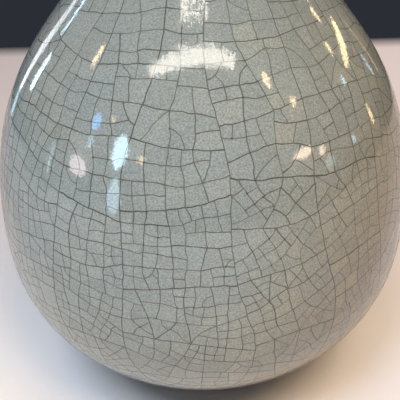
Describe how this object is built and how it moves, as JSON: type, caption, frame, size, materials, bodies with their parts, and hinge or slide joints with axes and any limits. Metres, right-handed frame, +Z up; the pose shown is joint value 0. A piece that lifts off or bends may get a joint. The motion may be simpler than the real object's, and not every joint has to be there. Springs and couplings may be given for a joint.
{
  "type": "bottle vase",
  "caption": "Pear-shaped stoneware bottle vase: full round belly, narrow flared neck, turned foot ring and a grey-green crackled celadon glaze.",
  "frame": {"origin": "centre of the foot ring's underside", "axes": "+Z up along the axis of revolution, from the foot to the mouth; the vase looks the same all round, so +X and +Y are free"},
  "size_m": [0.16, 0.16, 0.2863],
  "materials": {
    "glaze": "glossy grey-green celadon with a fine dark crackle",
    "stoneware": "bare fired iron-brown stoneware, turned",
    "slip": "fired clay slip"
  },
  "bodies": {
    "root": {"lower_body": "stoneware", "belly_luting_slip": "slip", "upper_body": "stoneware", "neck_luting_slip": "slip", "neck": "stoneware", "outer_glaze": "glaze", "inner_glaze": "glaze", "base_glaze": "glaze"}
  },
  "joints": []
}
